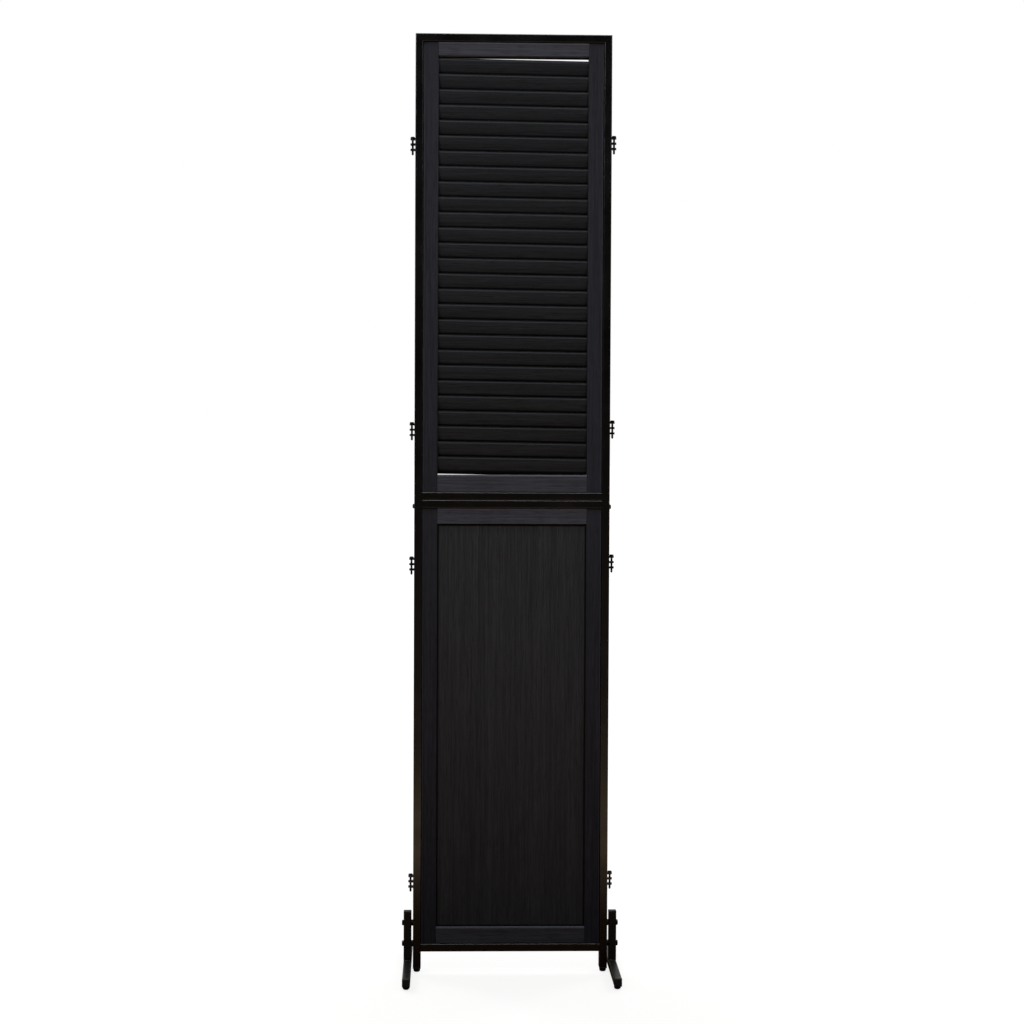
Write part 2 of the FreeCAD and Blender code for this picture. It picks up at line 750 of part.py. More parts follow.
def slat_section(sketch):
    """Two shallow arcs that crown the slat's faces, between blunt edges above and below."""
    edge, crown, high = size.slat_edge / 2, size.slat_thickness / 2, size.slat_width / 2
    for sign in (1, -1):
        start, end = Vector(sign * edge, -sign * high, 0), Vector(sign * edge, sign * high, 0)
        sketch.addGeometry(Part.Arc(start, Vector(sign * crown, 0, 0), end), False)
        sketch.addGeometry(Part.LineSegment(end, Vector(-sign * edge, sign * high, 0)), False)
    rise = "((slat_thickness - slat_edge) / 2)"
    radius = f"((slat_width / 2)^2 + {rise}^2) / (2 * {rise})"
    centre = f"(slat_thickness / 2 - {radius})"
    for arc, sign, other in ((0, "", "-"), (2, "-", "")):
        line, following = arc + 1, (arc + 2) % sketch.GeometryCount
        sketch.addConstraint(Sketcher.Constraint("Coincident", arc, 2, line, 1))
        sketch.addConstraint(Sketcher.Constraint("Coincident", line, 2, following, 1))
        hold(sketch, line, 1, f"{sign}slat_edge / 2", f"{sign}slat_width / 2")
        hold(sketch, line, 2, f"{other}slat_edge / 2", f"{sign}slat_width / 2")
        hold(sketch, arc, 3, f"{sign}{centre}")


def slat(label):
    """A slat that stands on edge about its pins' axis, X, with a wire staple on its lower edge."""
    body = new_body(label)
    section = new_sketch(body, "YZ_Plane")
    slat_section(section)
    pad(body, section, f"{OPENING_WIDTH} - 2 * slat_end_gap", "Symmetric")
    pins = new_sketch(body, "YZ_Plane")
    octagon(pins, "0", "0", "slat_pin", inscribed=True)
    pad(body, pins, f"{OPENING_WIDTH} + 2 * slat_pin_reach", "Symmetric")
    staple = new_sketch(body, "XZ_Plane")
    inner = "(staple_width / 2 - staple_wire)"
    bar = "slat_width / 2 + staple_reach"
    root = "staple_wire - slat_width / 2"
    outline(
        staple,
        ("-staple_width / 2", root),
        ("-staple_width / 2", f"-({bar} + staple_wire / 2)"),
        ("staple_width / 2", f"-({bar} + staple_wire / 2)"),
        ("staple_width / 2", root),
        (inner, root),
        (inner, f"staple_wire / 2 - ({bar})"),
        (f"-{inner}", f"staple_wire / 2 - ({bar})"),
        (f"-{inner}", root),
    )
    pad(body, staple, "staple_wire", "Symmetric")
    return body


def slats():
    """The slats lean forwards at the top, and all fall a little to the right."""
    lean = turned(0, 1, 0, slat_skew).multiply(turned(1, 0, 0, size.slat_tilt))
    for number in range(1, SLAT_COUNT + 1):
        height = first_slat - (number - 1) * slat_pitch
        place(slat(f"slat_{number:02d}"), at(0, 0, height, lean))


def tilt_rod():
    """A rod behind the slats with a wire eye round each slat's staple. Its origin is the lowest pivot."""
    body = new_body("tilt_rod")
    behind = "wood_thickness / 2 + rod_gap - (slat_width / 2 + staple_reach) * sin(slat_tilt)"
    section = new_sketch(body, "XY_Plane", "-rod_overhang")
    rectangle(section, "-rod_width / 2", "rod_width / 2", behind, f"{behind} + rod_thickness")
    bar = pad(body, section, f"{SLAT_RUN} + 2 * rod_overhang")
    round_edges(body, bar, "wood_edge", ALONG_Z)
    eye = new_sketch(body, "YZ_Plane")
    outer = "eye_room + staple_wire"
    root = f"{behind} + wood_edge"
    outline(
        eye,
        (root, f"-({outer})"),
        (root, "-eye_room"),
        ("-eye_room", "-eye_room"),
        ("-eye_room", "eye_room"),
        (root, "eye_room"),
        (root, outer),
        (f"-({outer})", outer),
        (f"-({outer})", f"-({outer})"),
    )
    repeat_up(body, pad(body, eye, "staple_wire", "Symmetric"), SLAT_RUN)
    lean = math.radians(size.slat_tilt)
    pivot = at(0, staple_radius * math.sin(lean), last_slat - staple_radius * math.cos(lean))
    place(body, pivot)


def write_parts():
    """Writes one file a sub-part, once the whole document and every shape are sound."""
    doc.recompute()
    failed = [thing.Label for thing in doc.Objects if {"Invalid", "Error"} & set(thing.State)]
    if failed:
        raise RuntimeError(f"these objects failed: {failed}")
    for part in subparts:
        if part.Shape.isNull() or not part.Shape.isValid():
            raise RuntimeError(f"{part.Label} has no valid shape")
    os.makedirs("parts", exist_ok=True)
    for part in subparts:
        part.Shape.exportStep(f"parts/{part.Label}.step")
    print(len(subparts), "sub-parts written")


frame_tubes()
joining_pieces()
feet()
hinges()
louvred_shutter()
framed_board()
shutter_screws()
slats()
tilt_rod()
write_parts()
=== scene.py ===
"""Looks of a louvred room divider panel: finishes, small fittings, studio and camera."""
import json
import math

import bpy
from mathutils import Matrix, Vector


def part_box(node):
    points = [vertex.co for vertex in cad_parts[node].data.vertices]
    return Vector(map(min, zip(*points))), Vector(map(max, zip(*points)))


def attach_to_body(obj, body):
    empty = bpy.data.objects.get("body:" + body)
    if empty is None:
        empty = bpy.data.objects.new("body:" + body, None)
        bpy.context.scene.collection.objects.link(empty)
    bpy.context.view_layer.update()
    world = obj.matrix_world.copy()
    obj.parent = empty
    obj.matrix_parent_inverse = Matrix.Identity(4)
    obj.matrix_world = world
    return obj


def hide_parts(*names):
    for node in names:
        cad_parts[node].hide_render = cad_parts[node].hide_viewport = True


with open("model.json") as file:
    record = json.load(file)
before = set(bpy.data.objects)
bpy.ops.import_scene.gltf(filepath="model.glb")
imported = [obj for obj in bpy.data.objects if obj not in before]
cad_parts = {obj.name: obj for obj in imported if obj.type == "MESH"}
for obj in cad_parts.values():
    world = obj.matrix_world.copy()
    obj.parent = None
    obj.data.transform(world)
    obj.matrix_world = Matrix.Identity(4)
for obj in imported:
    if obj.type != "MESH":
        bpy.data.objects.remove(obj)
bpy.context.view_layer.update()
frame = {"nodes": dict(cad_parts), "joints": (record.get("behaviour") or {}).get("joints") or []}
nodes = frame["nodes"]

RAILS = ("louvre_top_rail", "louvre_bottom_rail", "panel_top_rail", "panel_bottom_rail")
SLATS = tuple(name for name in nodes if name.startswith("slat_"))
HINGE_PINS = tuple(name for name in nodes if name.startswith("hinge_pin_"))


class Term:
    """A node's output. Sums and products of terms add Math nodes to the same tree."""

    def __init__(self, owner, socket):
        self.owner = owner
        self.socket = socket

    def maths(self, operation, *inputs):
        return self.owner.node("ShaderNodeMath", {"operation": operation}, dict(enumerate(inputs)))

    def __add__(self, other):
        return self.maths("ADD", self, other)

    def __radd__(self, other):
        return self.maths("ADD", other, self)

    def __sub__(self, other):
        return self.maths("SUBTRACT", self, other)

    def __rsub__(self, other):
        return self.maths("SUBTRACT", other, self)

    def __mul__(self, other):
        return self.maths("MULTIPLY", self, other)

    def __rmul__(self, other):
        return self.maths("MULTIPLY", other, self)

    def least(self, other):
        return self.maths("MINIMUM", self, other)

    def size(self):
        return self.maths("ABSOLUTE", self)


class ShaderTree:
    """A tree of shader nodes under construction."""

    def __init__(self, tree):
        self.tree = tree

    def node(self, kind, settings=None, sockets=None, output=0):
        """Any node: its settings first, then the values or links of its sockets."""
        made = self.tree.nodes.new(kind)
        for name, value in (settings or {}).items():
            setattr(made, name, value)
        for name, value in (sockets or {}).items():
            self.feed(made.inputs[name], value)
        return Term(self, made.outputs[output])

    def feed(self, socket, value):
        if isinstance(value, Term):
            self.tree.links.new(value.socket, socket)
        else:
            socket.default_value = value

    def spread(self, value, low, high, to_low=0.0, to_high=1.0):
        """A value between two limits, drawn out to two others."""
        return self.node("ShaderNodeMapRange", {"clamp": True}, {
            "Value": value, "From Min": low, "From Max": high, "To Min": to_low, "To Max": to_high,
        })

    def along(self, place, axis):
        """One coordinate of a place."""
        return self.node("ShaderNodeSeparateXYZ", None, {"Vector": place}, axis)


class Finish(ShaderTree):
    """A material with a Principled shader and the nodes that vary it over the surface."""

    def __init__(self, name, **constants):
        self.material = bpy.data.materials.new(name)
        self.material.use_nodes = True
        super().__init__(self.material.node_tree)
        self.shader = self.tree.nodes["Principled BSDF"]
        self.surface(**constants)

    def surface(self, **inputs):
        for name, value in inputs.items():
            self.feed(self.shader.inputs[name.replace("_", " ")], value)

    def place(self):
        """The piece's own coordinates."""
        return self.node("ShaderNodeTexCoord", output="Object")

    def drawn_out(self, axis, share):
        """The piece's own coordinates, for a pattern that is drawn out along one axis."""
        scale = [1.0, 1.0, 1.0]
        scale["XYZ".index(axis)] = share
        return self.node("ShaderNodeMapping", None, {"Vector": self.place(), "Scale": scale})

    def noise(self, place, scale, detail=3.0, rough=0.5, distortion=0.0):
        return self.node("ShaderNodeTexNoise", None, {
            "Vector": place, "Scale": scale, "Detail": detail, "Roughness": rough, "Distortion": distortion,
        })

    def mixed(self, share, first, second):
        """Two colours mixed. A Mix node's sockets share their names, so they go by number."""
        return self.node("ShaderNodeMix", {"data_type": "RGBA"}, {0: share, 6: first, 7: second}, 2)

    def raised(self, height, depth, strength=1.0):
        return self.node("ShaderNodeBump", None, {"Strength": strength, "Distance": depth, "Height": height})


def rgb(red, green, blue):
    return (red, green, blue, 1.0)


def shaded(colour, share):
    """A colour with each channel multiplied by one share."""
    return rgb(*[channel * share for channel in colour])


# Shades of the stain, as shares of the wood's own shade: a dark and a light tone of the grain, then a painted
# highlight and a painted shade.
DARK_SHARE = 0.7
LIGHT_SHARE = 1.3
PAINTED_HIGHLIGHT_SHARE = 2.5
PAINTED_SHADE_SHARE = 0.1
GRAIN_STRETCH = 0.02
GRAIN_DEPTH = 0.0001


def stained_wood(name, along, shade, tint, rough, pore_share, painted_light=None):
    """Black-stained open-grained wood under satin lacquer. Its grain runs along one axis of the piece."""
    finish = Finish(name, IOR=1.45, Specular_IOR_Level=0.2)
    grain = finish.drawn_out(along, GRAIN_STRETCH)
    streaks = finish.noise(grain, 700.0, detail=4.0, rough=0.6, distortion=0.3)
    pores = finish.noise(grain, 1500.0, detail=2.0, rough=0.55)
    figure = finish.noise(grain, 260.0, rough=0.55, distortion=0.4)
    bands = finish.noise(grain, 70.0, detail=2.0, distortion=0.8)
    solid = finish.spread(pores, 0.34, 0.46)
    tone = finish.spread(streaks * 0.4 + figure * 0.4 + bands * 0.2, 0.4, 0.6)
    wood = finish.mixed(tone, shaded(tint, shade * DARK_SHARE), shaded(tint, shade * LIGHT_SHARE))
    stain = finish.mixed(solid, shaded(tint, shade * pore_share), wood)
    # Painted light: a painted highlight, then a painted shade, mixed into the stain where the masks say.
    if painted_light:
        painted_highlight, painted_shade = painted_light(finish)
        if painted_highlight:
            stain = finish.mixed(painted_highlight, stain, shaded(tint, shade * PAINTED_HIGHLIGHT_SHARE))
        stain = finish.mixed(painted_shade, stain, shaded(tint, shade * PAINTED_SHADE_SHARE))
    finish.surface(
        Base_Color=stain,
        Roughness=finish.spread(tone, 0.0, 1.0, rough + 0.07, rough - 0.05) + (1 - solid) * 0.15,
        Normal=finish.raised(solid * 0.7 + streaks * 0.5, GRAIN_DEPTH),
    )
    return finish.material


# Where the painted highlights and painted shadows begin and where they are full, in metres: on a slat by the
# place across it, on the other pieces by the distance from an edge.
SLAT_PAINTED_HIGHLIGHT = (0.0132, 0.0148)
SLAT_PAINTED_RIM_SHADOW = (0.0156, 0.0162)
SLAT_PAINTED_CREVICE_SHADOW = (-0.0072, -0.0098)
BOARD_PAINTED_SHADOW = (0.0042, 0.0018)
STILE_PAINTED_HIGHLIGHT = (0.0030, 0.0018)
STILE_PAINTED_SHADOW = (0.0014, 0.0008)
RAIL_PAINTED_HIGHLIGHT = (0.0036, 0.0024)
RAIL_PAINTED_SHADOW = (0.0014, 0.0008)


def slat_painted_light(finish):
    """Painted highlight just below a slat's open edge, and painted shadow on the edge itself and on the part
    hidden in the crevice behind the next slat.
    """
    open_edge = finish.node("ShaderNodeAttribute", {"attribute_name": "open_edge"}, output="Fac")
    painted_shade = finish.spread(open_edge, *SLAT_PAINTED_CREVICE_SHADOW) + finish.spread(open_edge, *SLAT_PAINTED_RIM_SHADOW)
    return finish.spread(open_edge, *SLAT_PAINTED_HIGHLIGHT), painted_shade


def distance_in(finish, axis, low, high):
    """How far a point lies in from the nearer end of a span along one axis."""
    along = finish.along(finish.place(), axis)
    return (along - low).least(high - along)


def board_painted_shadow(finish):
    """Painted shadow along the board's border, where the rails and stiles shade it. No painted highlight."""
    left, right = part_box("panel_left_stile"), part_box("panel_right_stile")
    sill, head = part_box("panel_bottom_rail")[1][2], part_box("panel_top_rail")[0][2]
    sides = distance_in(finish, "X", left[1][0], right[0][0])
    ends = distance_in(finish, "Z", sill, head)
    return None, finish.spread(sides.least(ends), *BOARD_PAINTED_SHADOW)


def stile_painted_light(finish):
    """Painted shadow at the joint with the steel tube, and a painted highlight on the arris beside it."""
    left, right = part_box("panel_left_stile"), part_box("panel_right_stile")
    inside = distance_in(finish, "X", left[0][0], right[1][0])
    return finish.spread(inside, *STILE_PAINTED_HIGHLIGHT), finish.spread(inside, *STILE_PAINTED_SHADOW)


def rail_painted_light(finish):
    """Painted highlight along each rail's upper arris, and painted shadow along its lower one."""
    height = finish.along(finish.place(), "Z")
    painted_highlight, painted_shade = [], []
    for rail in RAILS:
        low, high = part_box(rail)
        painted_highlight.append(finish.spread((height - high[2]).size(), *RAIL_PAINTED_HIGHLIGHT))
        painted_shade.append(finish.spread((height - low[2]).size(), *RAIL_PAINTED_SHADOW))
    return sum(painted_highlight[1:], painted_highlight[0]), sum(painted_shade[1:], painted_shade[0])


HANDLED_SHARE = 1.7
PEEL_DEPTH = 0.00004


def coated_steel(name, colour, rough, gloss):
    """Satin black powder coat with a fine orange peel and a little handling sheen."""
    finish = Finish(name, IOR=1.45, Specular_IOR_Level=gloss)
    place = finish.place()
    peel = finish.noise(place, 1600.0, detail=2.0)
    patches = finish.noise(place, 14.0, detail=4.0, rough=0.6)
    finish.surface(
        Base_Color=finish.mixed(patches, rgb(*colour), shaded(colour, HANDLED_SHARE)),
        Roughness=finish.spread(patches, 0.3, 0.7, rough - 0.05, rough + 0.07),
        Normal=finish.raised(peel, PEEL_DEPTH, strength=0.12),
    )
    return finish.material


DUSTY_SHARE = 1.6
SPARK_DEPTH = 0.00008


def moulded_plastic(name, colour):
    """Matt black plastic with a fine sparked grain."""
    finish = Finish(name, IOR=1.46)
    place = finish.place()
    spark = finish.noise(place, 2600.0, detail=2.0, rough=0.7)
    dust = finish.spread(finish.noise(place, 60.0, rough=0.6), 0.45, 0.75)
    finish.surface(
        Base_Color=finish.mixed(dust, rgb(*colour), shaded(colour, DUSTY_SHARE)),
        Roughness=finish.spread(spark, 0.3, 0.7, 0.5, 0.68),
        Normal=finish.raised(spark, SPARK_DEPTH, strength=0.5),
    )
    return finish.material


UPRIGHT_WOOD = stained_wood("stained_wood_upright", "Z", 0.0265, (0.89, 0.925, 1.29), 0.5, 0.45, stile_painted_light)
# The rails' wood has more than twice the stiles' shade: a painted sheen, for horizontal grain catching the
# light from above.
LEVEL_WOOD_PAINTED_SHEEN = stained_wood("stained_wood_level_painted_sheen", "X", 0.061, (0.92, 0.965, 1.24), 0.46, 0.4, rail_painted_light)
SLAT_WOOD = stained_wood("stained_slat_wood", "X", 0.0225, (0.84, 0.935, 1.15), 0.46, 0.4, slat_painted_light)
BOARD_WOOD = stained_wood("stained_board_wood", "Z", 0.037, (0.95, 0.99, 1.14), 0.5, 0.6, board_painted_shadow)
ROD_WOOD = stained_wood("stained_rod_wood", "Z", 0.0265, (0.89, 0.925, 1.29), 0.5, 0.45)
FRAME_COAT = coated_steel("satin_powder_coat", (0.0012, 0.0012, 0.0013), 0.21, 1.0)
FOOT_COAT = coated_steel("satin_foot_coat", (0.010, 0.0097, 0.0094), 0.32, 0.3)
FITTING_COAT = coated_steel("fitting_black", (0.002, 0.002, 0.0021), 0.32, 0.35)
FOOT_PLASTIC = moulded_plastic("foot_plastic", (0.022, 0.022, 0.022))
SEAL_PLASTIC = moulded_plastic("soft_seal", (0.002, 0.002, 0.002))

FINISHES = {
    FRAME_COAT: (
        "upper_left_upright", "upper_right_upright", "upper_cross_tubes", "lower_left_upright",
        "lower_right_upright", "lower_cross_tubes", "joining_spigots", "hinge_ears",
    ),
    FOOT_COAT: ("left_foot", "right_foot"),
    FITTING_COAT: ("joining_bolts", "foot_bolts", "shutter_screws") + HINGE_PINS,
    FOOT_PLASTIC: ("end_caps", "glides"),
    UPRIGHT_WOOD: ("louvre_left_stile", "louvre_right_stile", "panel_left_stile", "panel_right_stile"),
    ROD_WOOD: ("tilt_rod",),
    LEVEL_WOOD_PAINTED_SHEEN: RAILS,
    BOARD_WOOD: ("panel_board",),
    SLAT_WOOD: SLATS,
}


def put_on(piece, material):
    piece.data.materials.clear()
    piece.data.materials.append(material)


def dress_nodes():
    for material, names in FINISHES.items():
        for name in names:
            put_on(nodes[name], material)


# Share of a size within which a point counts as lying on a plane.
NEAR = 0.01
RIM_STEPS = 5


def select_only(piece):
    bpy.ops.object.select_all(action="DESELECT")
    piece.select_set(True)
    bpy.context.view_layer.objects.active = piece


def settle(piece, name):
    """Names a piece and puts its place, turn and scale into its mesh."""
    select_only(piece)
    bpy.ops.object.transform_apply(location=True, rotation=True, scale=True)
    piece.name = name
    return piece


def rod_stock(name, sides, radius, length):
    """A round bar that stands on the origin."""
    bpy.ops.object.select_all(action="DESELECT")
    bpy.ops.mesh.primitive_cylinder_add(
        vertices=sides, radius=radius, depth=length, location=(0.0, 0.0, length / 2)
    )
    return settle(bpy.context.object, name)


def bar_stock(name, middle, size):
    """A square-edged bar about its middle."""
    bpy.ops.object.select_all(action="DESELECT")
    bpy.ops.mesh.primitive_cube_add(size=1.0, location=middle)
    bar = bpy.context.object
    bar.scale = size
    return settle(bar, name)


def pick(piece, kind, wanted):
    """In edit mode, selects the vertices, edges or faces whose middle passes a test."""
    bpy.ops.object.mode_set(mode="EDIT")
    bpy.ops.mesh.select_mode(type=kind)
    bpy.ops.mesh.select_all(action="DESELECT")
    bpy.ops.object.mode_set(mode="OBJECT")
    mesh = piece.data
    if kind == "FACE":
        for face in mesh.polygons:
            face.select = wanted(face.center)
    elif kind == "EDGE":
        for edge in mesh.edges:
            first, second = (mesh.vertices[end].co for end in edge.vertices)
            edge.select = wanted((first + second) / 2)
    else:
        for vertex in mesh.vertices:
            vertex.select = wanted(vertex.co)
    bpy.ops.object.mode_set(mode="EDIT")


def draw_down(piece, head, inset, *steps):
    """Insets the underside of a head and draws it down in steps of length and taper."""
    pick(piece, "FACE", lambda middle: middle.z < head * NEAR)
    bpy.ops.mesh.inset(thickness=inset)
    for length, taper in steps:
        bpy.ops.mesh.extrude_region_move(TRANSFORM_OT_translate={"value": (0.0, 0.0, -length)})
        bpy.ops.transform.resize(value=(taper, taper, 1.0))
    bpy.ops.object.mode_set(mode="OBJECT")


def round_rim(piece, height, rim):
    """Rounds the upper rim of a turned piece."""
    pick(piece, "EDGE", lambda middle: middle.z > height * (1 - NEAR))
    bpy.ops.mesh.bevel(offset=rim, segments=RIM_STEPS, profile=0.5, affect="EDGES")
    bpy.ops.object.mode_set(mode="OBJECT")


def finish_mesh(piece, ease, angle=35.0):
    """Eases the sharp edges a little and smooths the round faces."""
    select_only(piece)
    bevel = piece.modifiers.new("eased_edges", "BEVEL")
    bevel.width = ease
    bevel.segments = 2
    bevel.limit_method = "ANGLE"
    bevel.angle_limit = math.radians(angle)
    bpy.ops.object.modifier_apply(modifier=bevel.name)
    bpy.ops.object.shade_smooth_by_angle(angle=math.radians(angle))


def copied(piece, name, place, turn=(0.0, 0.0, 0.0), scale=(1.0, 1.0, 1.0)):
    """A copy with a mesh of its own, put in its place."""
    select_only(piece)
    bpy.ops.object.duplicate(linked=False)
    copy = bpy.context.object
    copy.location = place
    copy.rotation_euler = turn
    copy.scale = scale
    return settle(copy, name)


def joined(name, pieces):
    """Several copies as one piece."""
    select_only(pieces[0])
    for piece in pieces[1:]:
        piece.select_set(True)
    bpy.ops.object.join()
    return settle(bpy.context.object, name)


def attach(piece, body, material):
    put_on(piece, material)
    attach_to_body(piece, body)


SLAT_LENGTH = 0.286
SLAT_WIDTH = 0.035
SLAT_CROWN = 0.0055
SLAT_EDGE = 0.0016
SLAT_EASE = 0.0002
SLAT_STRIPS = 8
SLAT_LEAN = 15.0
SLAT_PIN_RADIUS = 0.00245
SLAT_PIN_LENGTH = 0.0093
SLAT_PIN_RIM = 0.0006
STAPLE_WIRE = 0.0012
STAPLE_WIDTH = 0.007
STAPLE_REACH = 0.0042
ROUND_ANGLE = 50.0


def crowned_slat():
    """A slat that stands on edge along X, crowned on both faces, with rounded edges and a pin at each end."""
    slat = bar_stock("slat", (0.0, 0.0, 0.0), (SLAT_LENGTH, SLAT_CROWN, SLAT_WIDTH))
    end, half = SLAT_LENGTH / 2, SLAT_WIDTH / 2
    pick(slat, "EDGE", lambda middle: abs(middle.z) < half * NEAR and abs(middle.x) > end * (1 - NEAR))
    bpy.ops.mesh.subdivide(number_cuts=SLAT_STRIPS - 1)
    rise = (SLAT_CROWN - SLAT_EDGE) / 2
    radius = (half ** 2 + rise ** 2) / (2 * rise)
    for strip in range(SLAT_STRIPS + 1):
        height = half * (2 * strip / SLAT_STRIPS - 1)
        thinner = SLAT_CROWN / 2 - radius + math.sqrt(radius ** 2 - height ** 2)
        pick(slat, "VERT", lambda point: abs(point.z - height) < half * NEAR)
        bpy.ops.transform.resize(value=(1.0, thinner / (SLAT_CROWN / 2), 1.0))
    pick(slat, "EDGE", lambda middle: abs(middle.z) > half * (1 - NEAR) and abs(middle.x) < end * NEAR)
    bpy.ops.mesh.bevel(offset=SLAT_EDGE * 0.45, segments=3, profile=0.5, affect="EDGES")
    bpy.ops.object.mode_set(mode="OBJECT")
    finish_mesh(slat, SLAT_EASE, ROUND_ANGLE)
    pin = rod_stock("slat_pin", 14, SLAT_PIN_RADIUS, SLAT_PIN_LENGTH)
    round_rim(pin, SLAT_PIN_LENGTH, SLAT_PIN_RIM)
    ends = [
        copied(pin, "slat_end", (side * end, 0.0, 0.0), (0.0, side * math.pi / 2, 0.0))
        for side in (-1.0, 1.0)
    ]
    bpy.data.objects.remove(pin)
    slat = joined("slat", [slat] + ends)
    mark_open_edge(slat.data)
    return slat


def mark_open_edge(mesh):
    """Marks each point with its place across the slat, counted upwards in front and downwards behind."""
    open_edge = mesh.attributes.new("open_edge", "FLOAT", "POINT")
    for mark, point in zip(open_edge.data, mesh.vertices):
        mark.value = -math.copysign(point.co.z, point.co.z * point.co.y)


def wire_staple():
    """A round wire staple in the lower edge of a slat, bent at two corners."""
    bend = STAPLE_WIRE
    arm = STAPLE_WIDTH / 2 - STAPLE_WIRE / 2
    bar = -SLAT_WIDTH / 2 - STAPLE_REACH
    root = -SLAT_WIDTH / 2 + STAPLE_WIRE
    bpy.ops.object.select_all(action="DESELECT")
    bpy.ops.mesh.primitive_circle_add(
        vertices=8, radius=STAPLE_WIRE / 2, fill_type="NGON", location=(-arm, 0.0, root)
    )
    staple = settle(bpy.context.object, "staple")
    bpy.ops.object.mode_set(mode="EDIT")
    bpy.ops.mesh.select_all(action="SELECT")
    straight = bar + bend - root
    bpy.ops.mesh.extrude_region_move(TRANSFORM_OT_translate={"value": (0.0, 0.0, straight)})
    for side, run in ((-1.0, (2 * (arm - bend), 0.0, 0.0)), (1.0, (0.0, 0.0, -straight))):
        corner = (side * (arm - bend), 0.0, bar + bend)
        bpy.ops.mesh.spin(steps=4, angle=math.pi / 2, center=corner, axis=(0.0, 1.0, 0.0))
        bpy.ops.mesh.extrude_region_move(TRANSFORM_OT_translate={"value": run})
    bpy.ops.mesh.select_all(action="SELECT")
    bpy.ops.mesh.remove_doubles(threshold=0.00001)
    bpy.ops.mesh.normals_make_consistent(inside=False)
    bpy.ops.object.mode_set(mode="OBJECT")
    bpy.ops.object.shade_smooth_by_angle(angle=math.radians(ROUND_ANGLE))
    return staple


def louvre_slats():
    """A crowned slat and its staple in place of each plain slat, all leaning and falling alike."""
    slat, staple = crowned_slat(), wire_staple()
    for joint in frame["joints"]:
        name = joint["child"]
        if name not in SLATS:
            continue
        across, _, fall = joint["axis"]
        turn = (math.radians(SLAT_LEAN), -math.atan2(fall, across), 0.0)
        crowned = copied(slat, name.replace("slat", "crowned_slat"), joint["pos_m"], turn)
        attach(crowned, name, SLAT_WOOD)
        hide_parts(name)
        wire = copied(staple, name.replace("slat", "staple"), joint["pos_m"], turn)
        attach(wire, name, FITTING_COAT)
    bpy.data.objects.remove(slat)
    bpy.data.objects.remove(staple)


BOLT_HEAD = 0.0034
BOLT_RIM = 0.0021
BOLT_EASE = 0.00015
SOCKET_FLOOR = BOLT_HEAD * 0.4
FOOT_BOLT = {"shank": 0.003, "length": 0.026, "socket": 0.0023}
JOINING_BOLT = {"shank": 0.0025, "length": 0.009, "socket": 0.0019}


def socket_bolt(radius, shank, length, socket):
    """A bolt with a domed head upwards and a hexagon socket in it. Its seat is at the origin."""
    bolt = rod_stock("bolt", 32, radius, BOLT_HEAD)
    round_rim(bolt, BOLT_HEAD, BOLT_RIM)
    draw_down(bolt, BOLT_HEAD, radius - shank, (length, 1.0))
    key = rod_stock("hexagon_key", 6, socket, BOLT_HEAD)
    key.location.z = SOCKET_FLOOR
    cut = bolt.modifiers.new("socket", "BOOLEAN")
    cut.operation = "DIFFERENCE"
    cut.solver = "EXACT"
    cut.object = key
    select_only(bolt)
    bpy.ops.object.modifier_apply(modifier=cut.name)
    bpy.data.objects.remove(key)
    finish_mesh(bolt, BOLT_EASE)
    return bolt


def bolt_row(node, name, heights, sizes):
    """Socket bolts in place of a row of plain ones, pointing in from both sides."""
    low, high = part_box(node)
    master = socket_bolt((high[1] - low[1]) / 2, **sizes)
    seat = high[0] - BOLT_HEAD
    bolts = []
    for side in (-1.0, 1.0):
        for height in heights:
            turn = (0.0, side * math.pi / 2, 0.0)
            bolts.append(copied(master, "bolt_copy", (side * seat, 0.0, height), turn))
    bpy.data.objects.remove(master)
    row = joined(name, bolts)
    attach(row, "panel", FITTING_COAT)
    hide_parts(node)


def socket_bolts():
    low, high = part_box("foot_bolts")
    reach = (high[1] - low[1]) / 2
    bolt_row("foot_bolts", "foot_socket_bolts", (low[2] + reach, high[2] - reach), FOOT_BOLT)
    low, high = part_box("joining_bolts")
    bolt_row("joining_bolts", "joining_socket_bolts", ((low[2] + high[2]) / 2,), JOINING_BOLT)


PIN_HEAD = 0.0025
PIN_RIM = 0.0011
PIN_RADIUS = 0.002
PIN_POINT = 0.0008
PIN_TAPER = 0.55
PIN_EASE = 0.00012


def drop_pins():
    """Hinge pins with rounded heads and tapered tips, each in place of a plain one."""
    low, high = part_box("hinge_pin_left_1")
    head_radius = (high[0] - low[0]) / 2
    length = high[2] - low[2] - PIN_HEAD - PIN_POINT
    master = rod_stock("pin", 28, head_radius, PIN_HEAD)
    round_rim(master, PIN_HEAD, PIN_RIM)
    draw_down(master, PIN_HEAD, head_radius - PIN_RADIUS, (length, 1.0), (PIN_POINT, PIN_TAPER))
    finish_mesh(master, PIN_EASE)
    for node in HINGE_PINS:
        low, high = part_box(node)
        place = ((low[0] + high[0]) / 2, (low[1] + high[1]) / 2, high[2] - PIN_HEAD)
        pin = copied(master, node.replace("hinge", "drop"), place)
        attach(pin, node, FITTING_COAT)
        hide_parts(node)
    bpy.data.objects.remove(master)


EARS_PER_HINGE = 3
EAR_SPACING = 0.0102
EAR_THICKNESS = 0.004
FOOT_TUBE = 0.015
POST_MIDDLE = 0.198
BEAD_LENGTH = 0.01
BEAD_RADIUS = 0.0006
BEAD_RINGS = 8
BEAD_RIPPLE = 1.22
BEAD_TAPER = 0.5
# Length and radius of the beads at an ear and at a post, and radius of the dressed beads on the frames.
EAR_BEAD = (0.0078, 0.0006)
POST_BEAD = (0.0125, 0.0008)
DRESSED_BEAD = 0.00022
ALONG_X = (0.0, math.pi / 2, 0.0)
ALONG_Y = (math.pi / 2, 0.0, 0.0)
ALONG_Z = (0.0, 0.0, 0.0)


